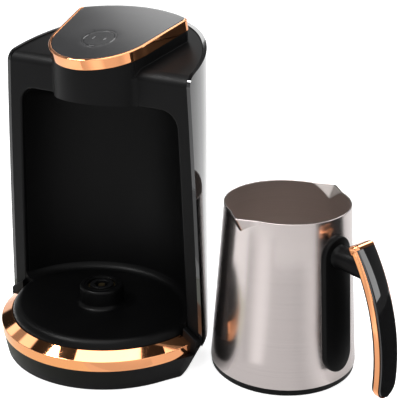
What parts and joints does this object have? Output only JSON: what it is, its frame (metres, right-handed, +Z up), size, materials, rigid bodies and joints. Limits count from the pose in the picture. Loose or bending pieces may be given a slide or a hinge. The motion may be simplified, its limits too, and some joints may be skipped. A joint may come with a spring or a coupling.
{
  "type": "electric turkish coffee maker",
  "caption": "Upright coffee maker with an open bay over a cordless connector, a sloping control panel with a start button, and a conical steel pot with a curved handle standing beside it.",
  "frame": {"origin": "point on the table under the axis of the connector on which the pot is seated", "axes": "+Z up along the connector axis, -Y towards the open front, +X towards the side on which the pot stands"},
  "size_m": [0.274, 0.1534, 0.2177],
  "materials": {
    "matt_black": "fine matt texture",
    "gloss_black": "piano gloss",
    "copper_trim": "copper-coloured vacuum plating on plastic",
    "tray_black": "satin",
    "liner_black": "satin",
    "panel_gloss": "smoked gloss",
    "button_gloss": "smoked gloss",
    "ring_lens": "frosted smoked lens",
    "rubber": "moulded",
    "steel_fixings": "zinc-plated",
    "gland_black": "moulded",
    "connector_black": "heat-resistant",
    "contact_brass": "plain",
    "switch_white": "plain",
    "component_black": "plain",
    "board_green": "solder resist",
    "winding_yellow": "taped windings",
    "terminal_green": "plain",
    "wire_sleeve": "silicone sleeve",
    "pot_steel": "brushed round the pot",
    "pot_black": "satin",
    "handle_black": "satin",
    "heater_alloy": "cast",
    "element_alloy": "drawn",
    "ceramic_white": "ceramic"
  },
  "bodies": {
    "machine": {"base_shell": "matt_black", "base_plate": "matt_black", "foot_front_left": "rubber", "foot_front_right": "rubber", "foot_rear_left": "rubber", "foot_rear_right": "rubber", "base_screws": "steel_fixings", "base_trim": "copper_trim", "cord_gland": "gland_black", "floor_tray": "tray_black", "connector_boss": "tray_black", "connector_body": "connector_black", "connector_contacts": "contact_brass", "front_frame": "matt_black", "bay_liner": "liner_black", "outer_shell": "gloss_black", "top_housing": "matt_black", "nose_cover": "matt_black", "lid_trim": "copper_trim", "control_panel": "panel_gloss", "light_ring": "ring_lens", "tact_switch": "component_black", "control_board": "board_green", "board_screws": "steel_fixings", "leds": "ring_lens", "buzzer": "component_black", "power_board": "board_green", "power_screws": "steel_fixings", "relay": "component_black", "transformer": "winding_yellow", "terminal_block": "terminal_green", "wire_harness": "wire_sleeve"},
    "button": {"start_button": "button_gloss", "switch_plunger": "switch_white"},
    "pot": {"pot_shell": "pot_steel", "pot_base": "pot_black", "pot_base_screws": "steel_fixings", "heater_plate": "heater_alloy", "heating_element": "element_alloy", "thermostat": "ceramic_white", "pot_connector": "connector_black", "side_strip": "pot_black", "handle_body": "handle_black", "handle_trim": "copper_trim", "handle_insert": "gloss_black", "handle_bracket": "steel_fixings", "handle_screw": "steel_fixings"}
  },
  "joints": [
    {"name": "button_press", "type": "slide", "parent": "machine", "child": "button", "axis": [0, 0.2756, -0.9613], "range_m": [0, 0.0008], "stiffness_N_per_m": 400, "springref_m": -0.0005},
    {"name": "pot_lift", "type": "slide", "parent": "machine", "child": "pot", "axis": [0, 0, 1], "range_m": [0, 0.15]}
  ]
}
